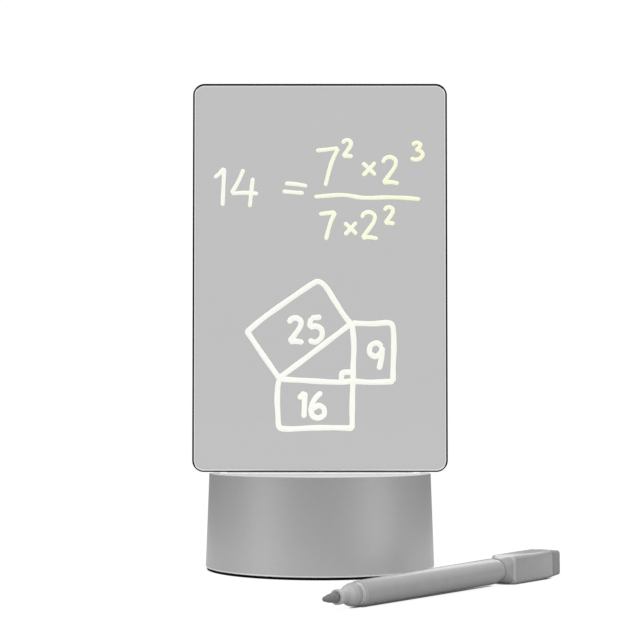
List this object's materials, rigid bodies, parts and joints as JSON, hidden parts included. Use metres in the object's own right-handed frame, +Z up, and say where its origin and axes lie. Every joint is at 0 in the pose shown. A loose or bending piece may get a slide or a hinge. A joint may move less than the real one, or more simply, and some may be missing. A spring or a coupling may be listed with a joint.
{
  "type": "acrylic memo board",
  "caption": "Clear acrylic writing panel that stands in the slot of a round lit base, with its capped marker pen.",
  "frame": {"origin": "centre of the foot pad's underside, on the surface that the base stands on", "axes": "+Z up along the panel, +X to the right as seen from the writing side, which faces -Y"},
  "size_m": [0.1526, 0.1915, 0.2093],
  "materials": {
    "foot_foam": "matt black foam",
    "shell_grey": "satin grey, fine grain",
    "cover_plastic": "dark moulded",
    "zinc_screw": "zinc plated",
    "milky_plastic": "milky translucent",
    "clear_acrylic": "clear grey, polished edges",
    "tray_plastic": "white moulded",
    "board_white": "white solder mask",
    "light_chip": "warm white light",
    "cell_wrap": "shrink sleeve",
    "nickel_strip": "nickel",
    "board_green": "green solder mask",
    "header_plastic": "cream moulded",
    "chip_black": "black epoxy",
    "ferrite": "dark ferrite",
    "capacitor_tan": "tan ceramic",
    "lamp_white": "small lamp",
    "socket_steel": "drawn steel",
    "light_pipe": "frosted clear",
    "plunger_red": "red moulded",
    "button_grey": "satin grey",
    "lead_red": "red insulation",
    "lead_black": "black insulation",
    "nib_felt": "pressed fibre",
    "pen_section_grey": "moulded grey",
    "pen_grey": "satin grey",
    "ink_fibre": "ink-soaked fibre",
    "eraser_felt": "pressed felt"
  },
  "bodies": {
    "base": {"foot_pad": "foot_foam", "base_shell": "shell_grey", "bottom_cover": "cover_plastic", "cover_screw_1": "zinc_screw", "cover_screw_2": "zinc_screw", "cover_screw_3": "zinc_screw", "cover_screw_4": "zinc_screw", "slot_frame": "milky_plastic", "led_tray": "tray_plastic", "tray_screw_1": "zinc_screw", "tray_screw_2": "zinc_screw", "led_board": "board_white", "led_chip_1": "light_chip", "led_chip_2": "light_chip", "led_chip_3": "light_chip", "led_chip_4": "light_chip", "led_chip_5": "light_chip", "led_chip_6": "light_chip", "led_chip_7": "light_chip", "led_chip_8": "light_chip", "battery_cell": "cell_wrap", "battery_tab_positive": "nickel_strip", "battery_tab_negative": "nickel_strip", "control_board": "board_green", "battery_connector": "header_plastic", "led_connector": "header_plastic", "charger_chip": "chip_black", "driver_chip": "chip_black", "boost_coil": "ferrite", "capacitor_1": "capacitor_tan", "capacitor_2": "capacitor_tan", "capacitor_3": "capacitor_tan", "capacitor_4": "capacitor_tan", "indicator_lamp": "lamp_white", "usb_socket": "socket_steel", "usb_tongue": "chip_black", "charge_indicator": "light_pipe", "switch_body": "chip_black", "battery_lead_positive": "lead_red", "battery_lead_negative": "lead_black", "led_lead_positive": "lead_red", "led_lead_negative": "lead_black"},
    "panel": {"acrylic_panel": "clear_acrylic"},
    "button": {"power_button": "button_grey", "switch_plunger": "plunger_red"},
    "pen": {"pen_nib": "nib_felt", "pen_section": "pen_section_grey", "pen_barrel": "pen_grey", "ink_reservoir": "ink_fibre", "pen_tail_plug": "pen_section_grey"},
    "cap": {"pen_cap": "pen_grey", "cap_eraser": "eraser_felt"}
  },
  "joints": [
    {"name": "panel_lift", "type": "slide", "parent": "base", "child": "panel", "axis": [0, 0, 1], "range_m": [0, 0.03]},
    {"name": "button_press", "type": "slide", "parent": "base", "child": "button", "axis": [0, -1, 0], "range_m": [0, 0.0006], "stiffness_N_per_m": 1500, "springref_m": -0.0003},
    {"name": "pen_lift", "type": "slide", "parent": "base", "child": "pen", "axis": [0, 0, 1], "range_m": [0, 0.08]},
    {"name": "cap_pull", "type": "slide", "parent": "pen", "child": "cap", "axis": [0.6481, 0.7615, 0.0115], "range_m": [0, 0.012]}
  ]
}
